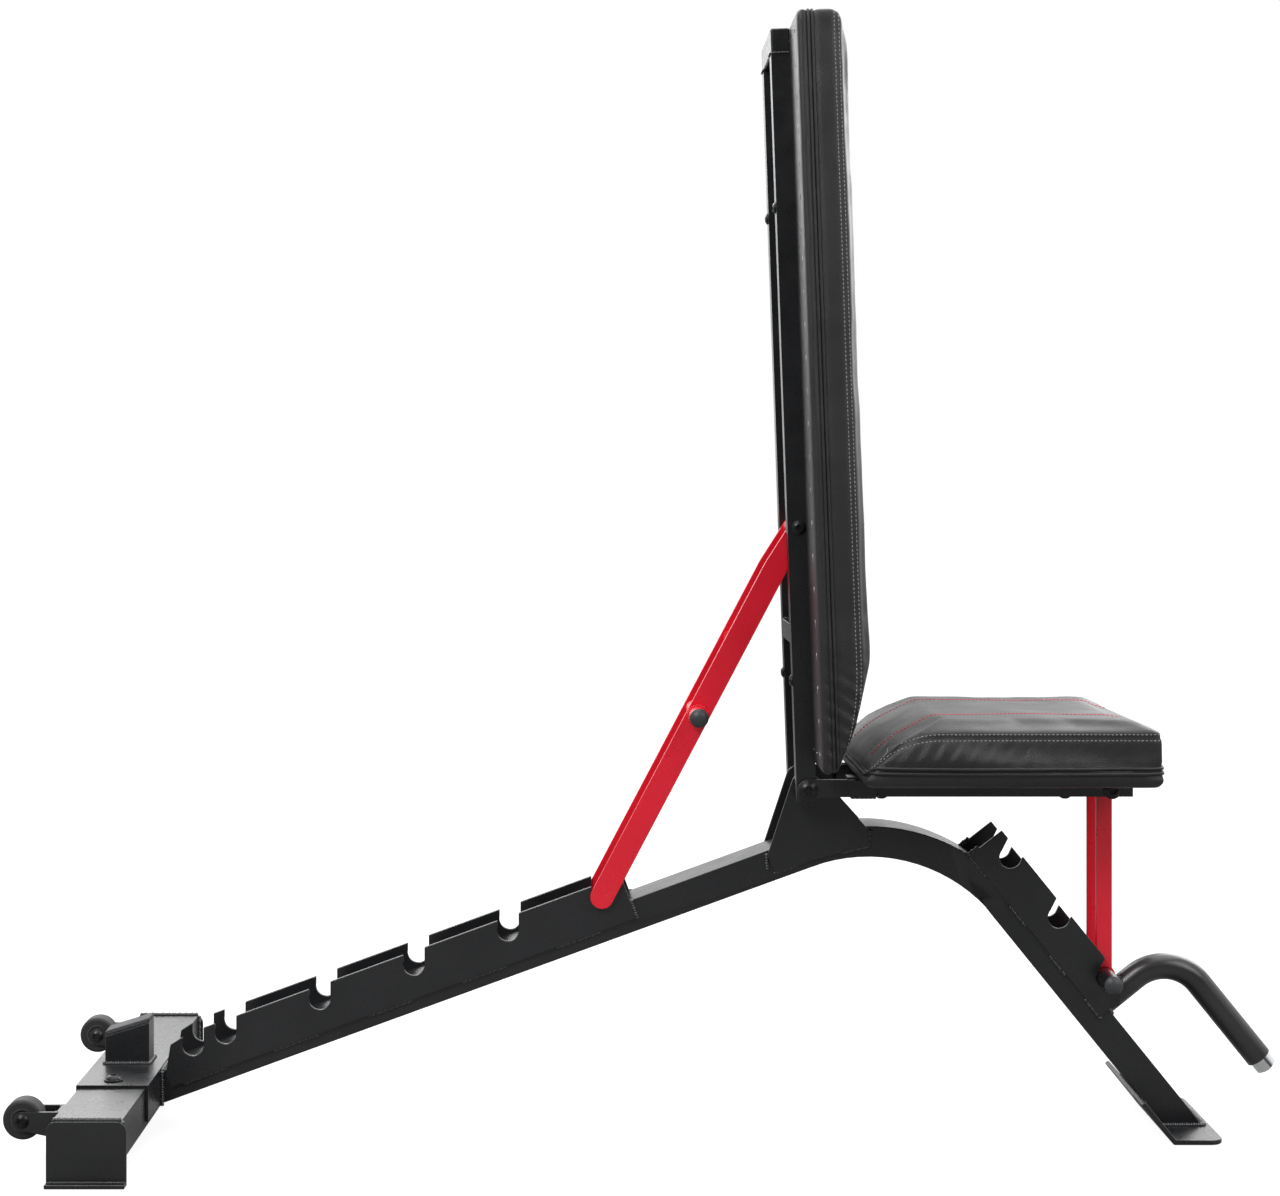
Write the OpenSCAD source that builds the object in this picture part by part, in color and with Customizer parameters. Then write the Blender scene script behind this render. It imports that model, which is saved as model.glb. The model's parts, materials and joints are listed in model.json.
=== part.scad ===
// Adjustable weight bench: ladder-type back adjustment and racked seat strut.
// Frame: +X towards the seat end, +Y to the far side, +Z up, standing on z = 0.

/* [Main tube] */
// Width of the main tube across the bench
tube_w = 60; // [50:1:70]
// Depth of the main tube in the plane of its bend
tube_d = 32; // [28:1:36]
// Wall of the main tube
tube_wall = 2; // [1.5:0.5:3]
// Slope of the rear run of the main tube, degrees
spine_angle = 20; // [18:1:22]
// Slope of the front leg, degrees
leg_angle = 51; // [49:1:53]
// Radius of the tube's bend on its centre line
bend_r = 185; // [170:5:200]

/* [Hinges and positions] */
// Height of the main hinge above the floor
hinge_z = 358; // [350:1:366]
// Lean of the back frame at its most upright, degrees from vertical
back_lean = 2; // [0:0.5:4]
// Distance from the main hinge to the back strut's pivot
strut_pivot_up = 269; // [260:1:280]
// Length of the back strut between its pivot and its foot
strut_len = 433; // [425:1:440]
// Distance from the main hinge to the seat strut's pivot
seat_pivot_out = 312; // [305:1:320]
// Length of the seat strut between its pivot and its handle
seat_strut_len = 199; // [198:0.5:201]

/* [Ladder and rack] */
// Thickness of the notched plates
plate_t = 4; // [3:0.5:5]
// Radius of the ladder notches
ladder_notch_r = 11.3; // [10:0.1:12]
// Pitch of the ladder notches along the tube
ladder_pitch = 104; // [100:1:108]
// Radius of the seat rack notches
rack_notch_r = 11.4; // [10:0.1:12]
// Pitch of the seat rack notches along the leg
rack_pitch = 80; // [76:1:84]

/* [Pads] */
// Width of both pads
pad_w = 300; // [280:5:320]
// Length of the back pad
back_pad_len = 770; // [740:5:790]
// Thickness of the back pad with its board
back_pad_t = 48.5; // [44:0.5:55]
// Length of the seat pad
seat_pad_len = 305; // [290:5:320]
// Thickness of the seat pad with its board
seat_pad_t = 62; // [55:1:68]
// Thickness of the plywood boards
board_t = 12; // [9:1:15]

/* [Feet and wheels] */
// Length of the rear cross tube
rear_foot_w = 436; // [400:4:460]
// Half width of the front foot plate
front_foot_half = 85; // [75:1:100]
// Radius of the transport wheels
wheel_r = 19.5; // [17:0.5:22]
// Width of the transport wheels
wheel_w = 22; // [18:1:24]

/* [Hidden] */
$fn = 48;
FAR = 1;
NEAR = -1;

// All x below are measured from a construction datum; the bench is then centred.
centre_x = 73.6;

apex = [350, 334];                      // meeting point of the tube's centre lines
turn = spine_angle + leg_angle;
tangent = bend_r * tan(turn / 2);
spine_end = apex - tangent * [cos(spine_angle), sin(spine_angle)];
leg_start = apex + tangent * [cos(leg_angle), -sin(leg_angle)];
bend_c = spine_end + bend_r * [sin(spine_angle), -cos(spine_angle)];

hinge = [223.6, hinge_z];
hinge_pin_r = 6;
run_fit = 0.05;

plate_in = tube_w / 2;                  // notched plates lie on the tube's sides
plate_out = plate_in + plate_t;
ladder_first = -632;                    // lowest regular notch, along the spine from its end
ladder_extra = 36;                      // the decline notch sits this far below it
ladder_v = 31;                          // notch centres above the tube's centre line
ladder_top = 44;
ladder_end = -190.5;
rack_first = -38.7;
rack_v = 35.8;
rack_top = 46.5;
rack_slot_lean = -24;                   // slots lean up the leg from its normal

rail_w = 20;
rail_out = 61.5;
rail_in = rail_out - rail_w;
rail_wall = 1.5;
rail_back = -11.6;                      // rear face of the back rails from the hinge line
rail_front = rail_back + rail_w;
back_rail_top = 757;
back_top_h = 25.5;
back_bolt_z = [112, 599];
pad_bottom = 20;

bar_t = 5;
bar_w = 24;
bar_in = 35;
bar_mid = bar_in + bar_t / 2;
bar_eye_r = 8;                          // a bar's top end, narrow enough to turn behind the pad
bar_taper = 48;
strut_pin_r = 5;
strut_angle = back_lean + 27.8;         // strut from the back frame's downward direction
strut_handle_at = 220;
strut_spacer_at = 135;
strut_handle_r = 9.7;
strut_handle_half = 68;

seat_rail_out = 62;
seat_rail_in = seat_rail_out - rail_w;
seat_rail_z = 351;
seat_rail_x0 = 264;
seat_rail_x1 = 557;
ear_t = 4;
seat_pad_x0 = 268;
seat_pad_z = seat_rail_z + rail_w;
seat_bolt_x = [300, 489];
seat_cross_x = [282, 440];
seat_pivot = hinge + [seat_pivot_out, 0];
seat_bar_w = 16.5;
seat_bar_t = 4;
seat_bar_out = 25;
seat_handle_r = 9.5;
seat_handle_half = 69;

foot_x0 = -516;
foot_x1 = -449;
foot_z0 = 22;
foot_z1 = 62;
saddle_t = 3;
saddle_half = 100;
saddle_bolt_x = -485;
saddle_bolt_y = 80;
post_x0 = -507.6;
post_x1 = -461.5;
post_half = 14;
post_slope = 17;
post_pad_t = 5;
post_top = 94;                          // post height at its rear edge, under the pad
wheel_x = -553;
wheel_z = 52.5;
wheel_y = 172;
axle_r = 4;
ear_gap = 0.8;                          // side clearance of a wheel in its bracket
bracket_t = 3;

handle_u = 148.8;                       // carry handle's root, along the leg
handle_rise = 107.7;                    // its straight run's height over the leg's centre line
handle_bend = 47.4;
handle_sleeve_r = 13.5;
handle_tube_r = 11;
handle_end_u = 296.5;
handle_tip_u = 309;

bush_clear = 0.1;                       // a bush's bore stands this far off its bolt
mouth_ease = 0.98;                      // a slot's walls stand just inside its round bottom
BIG = 2000;

// ---------- placing ----------
module placed() {
    translate([-centre_x, 0, 0]) children();
}

module at_xz(p) {
    translate([p[0], 0, p[1]]) children();
}

module on_spine() {
    placed() at_xz(spine_end) rotate([0, -spine_angle, 0]) children();
}

module on_leg() {
    placed() at_xz(leg_start) rotate([0, leg_angle, 0]) children();
}

module on_back() {
    placed() at_xz(hinge) rotate([0, -back_lean, 0]) children();
}

module on_strut() {
    on_back() translate([0, 0, strut_pivot_up]) rotate([0, strut_angle, 0]) children();
}

module on_seat_strut() {
    placed() at_xz(seat_pivot) children();
}

// A flat shape drawn in x and z, thick in y, centred on y_mid
module slab(y_mid, thick) {
    translate([0, y_mid + thick / 2, 0]) rotate([90, 0, 0]) linear_extrude(thick) children();
}

// A round rod along y between y0 and y1
module rod_y(p, r, y0, y1) {
    translate([p[0], y1, p[1]]) rotate([90, 0, 0]) cylinder(r = r, h = y1 - y0);
}

// ---------- fasteners ----------
// Button head with a hex socket, standing on z = 0
module button_head(r, h) {
    difference() {
        intersection() {
            cylinder(r = r, h = h);
            translate([0, 0, h - r * 1.35]) sphere(r = r * 1.35);
        }
        translate([0, 0, h * 0.35]) cylinder(r = r * 0.5, h = h, $fn = 6);
    }
}

// A bolt along y: head on the near side, hexagon nut on the far side
module cross_bolt(p, r, half, head_r) {
    nut_h = head_r * 0.6;
    tail = 1.5;                         // the shank's end stands this far out of its nut
    translate([p[0], 0, p[1]]) {
        translate([0, -half, 0]) rotate([90, 0, 0]) button_head(head_r, head_r * 0.5);
        rod_y([0, 0], r, -half - 1, half + nut_h + tail);
        translate([0, half, 0]) rotate([-90, 0, 0]) cylinder(r = head_r, h = nut_h, $fn = 6);
    }
}

// ---------- main frame ----------
module tube_solid(w, d) {
    rear_len = 760;
    leg_len = 340;
    at_xz(spine_end) rotate([0, -spine_angle, 0])
        translate([-rear_len, -w / 2, -d / 2]) cube([rear_len, w, d]);
    at_xz(bend_c) rotate([90, 0, 0]) rotate([0, 0, 90 - leg_angle])
        rotate_extrude(angle = turn, $fn = 96)
            translate([bend_r - d / 2, -w / 2]) square([d, w]);
    at_xz(leg_start) rotate([0, leg_angle, 0])
        translate([0, -w / 2, -d / 2]) cube([leg_len, w, d]);
}

module main_tube() {
    foot_plate_t = 5;
    color("#2b2c2e") placed() intersection() {
        difference() {
            tube_solid(tube_w, tube_d);
            tube_solid(tube_w - 2 * tube_wall, tube_d - 2 * tube_wall);
        }
        translate([foot_x1 + saddle_t, -BIG / 2, foot_plate_t]) cube([BIG, BIG, BIG]);
    }
}

module notch(u, v, r, lean, depth) {
    translate([u, v]) {
        circle(r = r);
        rotate(-lean) translate([-mouth_ease * r, 0]) square([2 * mouth_ease * r, depth]);
    }
}

module ladder_plate(side) {
    plate_low = -3;
    tooth_left = -693;
    extra_notch = ladder_first - ladder_extra;
    open_depth = 60;                    // long enough for a slot to break through the top edge
    color("#2b2c2e") on_spine() slab(side * (plate_in + plate_t / 2), plate_t) difference() {
        polygon([[tooth_left - 12, plate_low], [ladder_end, plate_low], [ladder_end, 37],
            [ladder_end - 6, 42], [ladder_end - 12, ladder_top], [extra_notch, ladder_top],
            [tooth_left + 3, 39], [tooth_left - 12, tube_d / 2 - 4]]);
        for (i = [0 : 4])
            notch(ladder_first + i * ladder_pitch, ladder_v, ladder_notch_r, spine_angle, open_depth);
        notch(extra_notch, ladder_v, ladder_notch_r, spine_angle, open_depth);
    }
}

module rack_plate(side) {
    plate_low = 4;
    open_depth = 40;
    color("#2b2c2e") on_leg() slab(side * (plate_in + plate_t / 2), plate_t) difference() {
        polygon([[-67, plate_low], [-66, rack_top], [134, rack_top], [152, 27],
            [148, 17], [149, plate_low]]);
        for (i = [0 : 2])
            notch(rack_first + i * rack_pitch, rack_v, rack_notch_r, rack_slot_lean, open_depth);
    }
}

module tower_plate(side) {
    nose_r = 15;
    nose = [for (a = [165 : -7.5 : 15]) hinge + nose_r * [cos(a), sin(a)]];
    color("#2b2c2e") placed() slab(side * (plate_in + plate_t / 2), plate_t) difference() {
        polygon(concat([[184, 286]], nose, [[260, 345], [290, 312], [288, 296],
            [240, 284], [192, 268]]));
        translate(hinge) circle(r = hinge_pin_r + run_fit);
    }
}

module front_foot_plate() {
    foot_t = 5;
    lip_u = 228;
    toe_x0 = 595;
    toe_x1 = 645;
    corner_r = 14;
    color("#2b2c2e") union() {
        intersection() {
            on_leg() translate([lip_u, -front_foot_half, -tube_d / 2 - foot_t])
                cube([90, 2 * front_foot_half, foot_t]);
            translate([-BIG / 2, -BIG / 2, 0]) cube([BIG, BIG, BIG]);
        }
        placed() linear_extrude(foot_t) union() {
            translate([toe_x0, -front_foot_half])
                square([toe_x1 - toe_x0 - corner_r, 2 * front_foot_half]);
            translate([toe_x1 - corner_r, -front_foot_half + corner_r])
                square([corner_r, 2 * (front_foot_half - corner_r)]);
            for (side = [NEAR, FAR])
                translate([toe_x1 - corner_r, side * (front_foot_half - corner_r)])
                    circle(r = corner_r);
        }
    }
}

// ---------- rear foot ----------
module rear_cross_tube() {
    color("#2b2c2e") placed() difference() {
        translate([foot_x0, -rear_foot_w / 2, foot_z0])
            cube([foot_x1 - foot_x0, rear_foot_w, foot_z1 - foot_z0]);
        translate([foot_x0 + tube_wall, -rear_foot_w, foot_z0 + tube_wall])
            cube([foot_x1 - foot_x0 - 2 * tube_wall, 2 * rear_foot_w,
                foot_z1 - foot_z0 - 2 * tube_wall]);
        for (side = [NEAR, FAR])
            translate([saddle_bolt_x, side * saddle_bolt_y, foot_z0 + 10])
                cylinder(r = axle_r + run_fit, h = foot_z1);
    }
}

module rear_foot_plate(side) {
    foot_t = 4;
    flange = 13;
    grow = 5;
    corner_r = 10;
    color("#2b2c2e") placed() union() {
        slab(side * (rear_foot_w / 2 + foot_t / 2), foot_t) union() {
            translate([foot_x0 - grow, 0])
                square([foot_x1 - foot_x0 + 2 * grow, foot_z1 - corner_r]);
            translate([foot_x0 - grow + corner_r, 0])
                square([foot_x1 - foot_x0 + 2 * (grow - corner_r), foot_z1]);
            for (x = [foot_x0 - grow + corner_r, foot_x1 + grow - corner_r])
                translate([x, foot_z1 - corner_r]) circle(r = corner_r);
        }
        translate([foot_x0 - grow, side * (rear_foot_w / 2 + flange / 2) - flange / 2, 0])
            cube([foot_x1 - foot_x0 + 2 * grow, flange, foot_t]);
    }
}

module rear_saddle() {
    drop = 34;
    color("#2b2c2e") placed() difference() {
        translate([foot_x0 - saddle_t, -saddle_half, foot_z1 - drop])
            cube([foot_x1 - foot_x0 + 2 * saddle_t, 2 * saddle_half, drop + saddle_t]);
        translate([foot_x0, -BIG / 2, -BIG + foot_z1])
            cube([foot_x1 - foot_x0, BIG, BIG]);
        for (side = [NEAR, FAR])
            translate([saddle_bolt_x, side * saddle_bolt_y, 0])
                cylinder(r = axle_r + run_fit, h = BIG);
    }
}

module saddle_bolts() {
    head_r = 8;
    washer_r = 10;
    washer_t = 1.6;
    nut_h = 6;
    tail = 4;
    nut_z = foot_z1 - tube_wall - nut_h;
    seat_z = foot_z1 + saddle_t;
    color("#1c1c1d") placed() for (side = [NEAR, FAR])
        translate([saddle_bolt_x, side * saddle_bolt_y, 0]) union() {
            translate([0, 0, seat_z]) cylinder(r = washer_r, h = washer_t);
            translate([0, 0, seat_z + washer_t]) button_head(head_r, 4.5);
            translate([0, 0, nut_z - tail]) cylinder(r = axle_r, h = seat_z + washer_t + tail - nut_z);
            translate([0, 0, nut_z]) cylinder(r = 7, h = nut_h, $fn = 6);
        }
}

// Flat bounded above by the sloping seat that the back frame lands on
module post_outline(lift) {
    rise = (post_x1 - post_x0) * tan(post_slope);
    floor_z = foot_z1 + saddle_t;
    polygon([[post_x0, floor_z], [post_x1, floor_z], [post_x1, post_top + rise + lift],
        [post_x0, post_top + lift]]);
}

module rest_post() {
    color("#2b2c2e") placed() difference() {
        slab(0, 2 * post_half) post_outline(0);
        translate([post_x0 + tube_wall, -post_half + tube_wall, 0])
            cube([post_x1 - post_x0 - 2 * tube_wall, 2 * (post_half - tube_wall), BIG]);
    }
}

module rest_post_pad() {
    color("#3a3b3d") placed() difference() {
        slab(0, 2 * post_half) post_outline(post_pad_t);
        slab(0, 4 * post_half) post_outline(0);
    }
}

// ---------- wheels ----------
module wheel_bracket(side) {
    ear_r = 9;
    ear_in = wheel_w / 2 + ear_gap;
    root_h = 26;
    back = foot_x0 - saddle_t / 2;
    color("#2b2c2e") placed() difference() {
        union() {
            for (s = [NEAR, FAR])
                slab(side * wheel_y + s * (ear_in + bracket_t / 2), bracket_t) union() {
                    translate([wheel_x, wheel_z]) circle(r = ear_r);
                    polygon([[wheel_x, wheel_z + ear_r], [wheel_x, wheel_z - ear_r],
                        [foot_x0, wheel_z - ear_r - 8], [foot_x0, wheel_z + ear_r]]);
                }
            translate([foot_x0 - bracket_t, side * wheel_y - ear_in - bracket_t,
                wheel_z + ear_r - root_h])
                cube([bracket_t, 2 * (ear_in + bracket_t), root_h]);
        }
        rod_y([wheel_x, wheel_z], axle_r + run_fit, side * wheel_y - 30, side * wheel_y + 30);
    }
}

module wheel_hub(side) {
    hub_r = 11.5;
    dish = 3;
    color("#3c3d40") placed() difference() {
        rod_y([wheel_x, wheel_z], hub_r, side * wheel_y - wheel_w / 2, side * wheel_y + wheel_w / 2);
        rod_y([wheel_x, wheel_z], axle_r + run_fit, side * wheel_y - 30, side * wheel_y + 30);
        for (s = [NEAR, FAR])
            translate([wheel_x, side * wheel_y + s * wheel_w / 2, wheel_z]) rotate([90, 0, 0])
                difference() {
                    cylinder(r = hub_r - 1.5, h = 2 * dish, center = true);
                    cylinder(r = axle_r + 2.5, h = 3 * dish, center = true);
                }
    }
}

module wheel_tyre(side) {
    bore_r = 11.5;
    shoulder = 3.5;
    color("#161616") placed() translate([wheel_x, side * wheel_y, wheel_z]) rotate([90, 0, 0])
        rotate_extrude($fn = 64) union() {
            translate([bore_r, -wheel_w / 2]) square([wheel_r - shoulder - bore_r, wheel_w]);
            translate([bore_r, -wheel_w / 2 + shoulder])
                square([wheel_r - bore_r, wheel_w - 2 * shoulder]);
            for (s = [NEAR, FAR])
                translate([wheel_r - shoulder, s * (wheel_w / 2 - shoulder)]) circle(r = shoulder);
        }
}

module wheel_axle_bolts() {
    half = wheel_w / 2 + ear_gap + bracket_t;
    color("#1c1c1d") placed() for (side = [NEAR, FAR])
        translate([0, side * wheel_y, 0]) cross_bolt([wheel_x, wheel_z], axle_r, half, 7.5);
}

// ---------- carry handle ----------
module handle_run(r, bore) {
    union() {
        translate([handle_u, 0, tube_d / 2]) difference() {
            cylinder(r = r, h = handle_rise - handle_bend - tube_d / 2);
            if (bore > 0) translate([0, 0, -1]) cylinder(r = bore, h = BIG);
        }
        translate([handle_u + handle_bend, 0, handle_rise - handle_bend]) rotate([90, 0, 0])
            rotate([0, 0, 90]) rotate_extrude(angle = 90, $fn = 96)
                translate([handle_bend, 0]) difference() {
                    circle(r = r);
                    if (bore > 0) circle(r = bore);
                }
        translate([handle_u + handle_bend, 0, handle_rise]) rotate([0, 90, 0]) difference() {
            cylinder(r = r, h = handle_end_u - handle_u - handle_bend);
            if (bore > 0) translate([0, 0, -1]) cylinder(r = bore, h = BIG);
        }
    }
}

module carry_handle_tube() {
    color("#8e9194") on_leg() union() {
        handle_run(handle_tube_r, 0);
        translate([handle_end_u - 1, 0, handle_rise]) rotate([0, 90, 0])
            cylinder(r = handle_tube_r, h = handle_tip_u - handle_end_u + 1);
    }
}

module carry_handle_sleeve() {
    color("#1d1d1f") on_leg() handle_run(handle_sleeve_r, handle_tube_r);
}

module carry_handle_cap() {
    cap_h = 4;
    color("#c9ccd0") on_leg() translate([handle_tip_u, 0, handle_rise]) rotate([0, 90, 0])
        intersection() {
            cylinder(r = handle_tube_r - 0.5, h = cap_h);
            translate([0, 0, cap_h - 16]) sphere(r = 16);
        }
}

// ---------- main hinge ----------
module main_hinge_bolt() {
    half = seat_rail_out + ear_t + 0.6;
    color("#1c1c1d") placed() cross_bolt(hinge, hinge_pin_r, half, 10);
}

module main_hinge_bushes() {
    side_gap = 0.35;
    color("#4a4b4e") placed() for (side = [NEAR, FAR]) difference() {
        rod_y(hinge, 10, min(side * plate_out, side * (rail_in - side_gap)),
            max(side * plate_out, side * (rail_in - side_gap)));
        rod_y(hinge, hinge_pin_r + bush_clear, -BIG / 2, BIG / 2);
    }
}

// ---------- back ----------
module back_rail(side) {
    low = -12;
    y0 = min(side * rail_in, side * rail_out);
    hole = 3.1;
    color("#2b2c2e") on_back() difference() {
        translate([rail_back, y0, low]) cube([rail_w, rail_w, back_rail_top - low]);
        translate([rail_back + rail_wall, y0 + rail_wall, low + rail_wall])
            cube([rail_w - 2 * rail_wall, rail_w - 2 * rail_wall,
                back_rail_top - low - 2 * rail_wall]);
        rod_y([0, 0], hinge_pin_r + run_fit, -BIG / 2, BIG / 2);
        rod_y([0, strut_pivot_up], strut_pin_r + run_fit, -BIG / 2, BIG / 2);
        for (z = back_bolt_z)
            translate([rail_back - 1, side * (rail_in + rail_w / 2), z]) rotate([0, 90, 0])
                cylinder(r = hole, h = rail_w + 2);
    }
}

module back_top_cross_tube() {
    color("#2b2c2e") on_back() difference() {
        translate([rail_back, -rail_out, back_rail_top]) cube([rail_w, 2 * rail_out, back_top_h]);
        translate([rail_back + rail_wall, -rail_out + rail_wall, back_rail_top + rail_wall])
            cube([rail_w - 2 * rail_wall, 2 * (rail_out - rail_wall), back_top_h - 2 * rail_wall]);
    }
}

module back_lower_cross_tube() {
    height = 150;
    color("#2b2c2e") on_back() difference() {
        translate([rail_back, -rail_in, height]) cube([rail_w, 2 * rail_in, rail_w]);
        translate([rail_back + rail_wall, -rail_in - 1, height + rail_wall])
            cube([rail_w - 2 * rail_wall, 2 * rail_in + 2, rail_w - 2 * rail_wall]);
    }
}

module back_board() {
    inset = 9;
    color("#b58f5e") on_back() difference() {
        translate([rail_front, -pad_w / 2 + inset, pad_bottom + inset])
            cube([board_t, pad_w - 2 * inset, back_pad_len - 2 * inset]);
        for (z = back_bolt_z, side = [NEAR, FAR])
            translate([rail_front - 1, side * (rail_in + rail_w / 2), z]) rotate([0, 90, 0])
                cylinder(r = 3.1, h = board_t - 1);
    }
}

// The pad's side outline: square at the top, drawn in at its lower front
module back_pad_outline() {
    front = rail_front + back_pad_t;
    top = pad_bottom + back_pad_len;
    polygon([[rail_front, pad_bottom], [rail_front + 16, pad_bottom], [front - 16, pad_bottom + 32],
        [front - 5, pad_bottom + 62], [front, pad_bottom + 100], [front, top - 22],
        [front - 6, top - 7], [front - 20, top], [rail_front, top]]);
}

module back_cushion() {
    inset = 9;
    color("#232325") on_back() difference() {
        slab(0, pad_w) back_pad_outline();
        translate([rail_front - 1, -pad_w / 2 + inset, pad_bottom + inset])
            cube([board_t + 1, pad_w - 2 * inset, back_pad_len - 2 * inset]);
    }
}

module back_pad_bolts() {
    head_r = 6;
    shank = rail_w + board_t - 3;
    color("#1c1c1d") on_back() for (z = back_bolt_z, side = [NEAR, FAR])
        translate([rail_back, side * (rail_in + rail_w / 2), z]) union() {
            rotate([0, -90, 0]) button_head(head_r, 3.6);
            rotate([0, 90, 0]) cylinder(r = 3, h = shank);
        }
}

module strut_pivot_bolt() {
    color("#1c1c1d") on_back() cross_bolt([0, strut_pivot_up], strut_pin_r, rail_out, 7.5);
}

// ---------- back strut ----------
module strut_bar(side) {
    color("#c8102e") on_strut() difference() {
        slab(side * bar_mid, bar_t) union() {
            translate([-bar_w / 2, -strut_len]) square([bar_w, strut_len - bar_taper]);
            polygon([[-bar_w / 2, -bar_taper], [-bar_eye_r, 0], [bar_eye_r, 0],
                [bar_w / 2, -bar_taper]]);
            circle(r = bar_eye_r);
            translate([0, -strut_len]) circle(r = bar_w / 2);
        }
        rod_y([0, 0], strut_pin_r + run_fit, -BIG / 2, BIG / 2);
        rod_y([0, -strut_handle_at], strut_handle_r, -BIG / 2, BIG / 2);
    }
}

module strut_top_sleeve() {
    color("#c8102e") on_strut() difference() {
        rod_y([0, 0], bar_eye_r, -bar_in, bar_in);
        rod_y([0, 0], strut_pin_r + run_fit, -BIG / 2, BIG / 2);
    }
}

module strut_spacer() {
    color("#c8102e") on_strut() rod_y([0, -strut_spacer_at], 7, -bar_in, bar_in);
}

module strut_handle_tube() {
    color("#c8102e") on_strut() difference() {
        rod_y([0, -strut_handle_at], strut_handle_r, -strut_handle_half, strut_handle_half);
        rod_y([0, -strut_handle_at], strut_handle_r - rail_wall, -BIG / 2, BIG / 2);
    }
}

// Domed end caps with a plug that fills the tube's end
module handle_caps(r, half) {
    dome_h = 6;
    plug = 12;
    for (side = [NEAR, FAR])
        translate([0, side * half, 0]) rotate([-90 * side, 0, 0]) union() {
            intersection() {
                cylinder(r = r, h = dome_h);
                translate([0, 0, dome_h - r * 1.3]) sphere(r = r * 1.3);
            }
            translate([0, 0, -plug]) cylinder(r = r - rail_wall, h = plug + 1);
        }
}

module strut_handle_caps() {
    color("#26282a") on_strut() translate([0, 0, -strut_handle_at])
        handle_caps(strut_handle_r, strut_handle_half);
}

// ---------- seat ----------
module seat_rail(side) {
    y0 = min(side * seat_rail_in, side * seat_rail_out);
    color("#2b2c2e") placed() difference() {
        translate([seat_rail_x0, y0, seat_rail_z]) cube([seat_rail_x1 - seat_rail_x0, rail_w, rail_w]);
        translate([seat_rail_x0 + rail_wall, y0 + rail_wall, seat_rail_z + rail_wall])
            cube([seat_rail_x1 - seat_rail_x0 - 2 * rail_wall, rail_w - 2 * rail_wall,
                rail_w - 2 * rail_wall]);
        rod_y(seat_pivot, strut_pin_r + run_fit, -BIG / 2, BIG / 2);
        for (x = seat_bolt_x)
            translate([x, side * (seat_rail_in + rail_w / 2), 0]) cylinder(r = 3.1, h = BIG);
    }
}

module seat_cross_tubes() {
    color("#2b2c2e") placed() for (x = seat_cross_x) difference() {
        translate([x, -seat_rail_in, seat_rail_z]) cube([rail_w, 2 * seat_rail_in, rail_w]);
        translate([x + rail_wall, -seat_rail_in - 1, seat_rail_z + rail_wall])
            cube([rail_w - 2 * rail_wall, 2 * seat_rail_in + 2, rail_w - 2 * rail_wall]);
    }
}

module seat_hinge_ear(side) {
    ear_len = 70;
    ear_h = 18;
    color("#2b2c2e") placed() difference() {
        slab(side * (seat_rail_out + ear_t / 2), ear_t) translate(hinge) union() {
            translate([0, -7]) square([ear_len, ear_h]);
            circle(r = 11);
        }
        rod_y(hinge, hinge_pin_r + run_fit, -BIG / 2, BIG / 2);
    }
}

module seat_board() {
    inset = 9;
    color("#b58f5e") placed() difference() {
        translate([seat_pad_x0 + inset, -pad_w / 2 + inset, seat_pad_z])
            cube([seat_pad_len - 2 * inset, pad_w - 2 * inset, board_t]);
        for (x = seat_bolt_x, side = [NEAR, FAR])
            translate([x, side * (seat_rail_in + rail_w / 2), seat_pad_z - 1])
                cylinder(r = 3.1, h = board_t - 1);
    }
}

module seat_pad_outline() {
    x1 = seat_pad_x0 + seat_pad_len;
    top = seat_pad_z + seat_pad_t;
    polygon([[seat_pad_x0, seat_pad_z], [x1, seat_pad_z], [x1, top - 9], [x1 - 6, top - 3],
        [x1 - 20, top], [seat_pad_x0 + 66, top], [seat_pad_x0 + 46, top - 5],
        [seat_pad_x0 + 26, top - 24], [seat_pad_x0, seat_pad_z + 8]]);
}

module seat_cushion() {
    inset = 9;
    color("#232325") placed() difference() {
        slab(0, pad_w) seat_pad_outline();
        translate([seat_pad_x0 + inset, -pad_w / 2 + inset, seat_pad_z - 1])
            cube([seat_pad_len - 2 * inset, pad_w - 2 * inset, board_t + 1]);
    }
}

module seat_pad_bolts() {
    color("#1c1c1d") placed() for (x = seat_bolt_x, side = [NEAR, FAR])
        translate([x, side * (seat_rail_in + rail_w / 2), seat_rail_z]) union() {
            rotate([180, 0, 0]) button_head(6, 3.6);
            cylinder(r = 3, h = rail_w + board_t - 3);
        }
}

module seat_pivot_bolt() {
    color("#1c1c1d") placed() cross_bolt(seat_pivot, strut_pin_r, seat_rail_out, 9.5);
}

module seat_pivot_spacers() {
    side_gap = 0.4;
    color("#4a4b4e") placed() for (side = [NEAR, FAR]) difference() {
        rod_y(seat_pivot, 8, min(side * (seat_bar_out + side_gap), side * seat_rail_in),
            max(side * (seat_bar_out + side_gap), side * seat_rail_in));
        rod_y(seat_pivot, strut_pin_r + bush_clear, -BIG / 2, BIG / 2);
    }
}

module seat_strut_bar(side) {
    end_r = 12;
    color("#c8102e") on_seat_strut() difference() {
        slab(side * (seat_bar_out - seat_bar_t / 2), seat_bar_t) union() {
            translate([-seat_bar_w / 2, -seat_strut_len]) square([seat_bar_w, seat_strut_len]);
            circle(r = seat_bar_w / 2);
            translate([0, -seat_strut_len]) circle(r = end_r);
        }
        rod_y([0, 0], strut_pin_r + run_fit, -BIG / 2, BIG / 2);
        rod_y([0, -seat_strut_len], seat_handle_r, -BIG / 2, BIG / 2);
    }
}

module seat_strut_sleeve() {
    half = seat_bar_out - seat_bar_t;
    color("#c8102e") on_seat_strut() difference() {
        rod_y([0, 0], seat_bar_w / 2, -half, half);
        rod_y([0, 0], strut_pin_r + run_fit, -BIG / 2, BIG / 2);
    }
}

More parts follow.
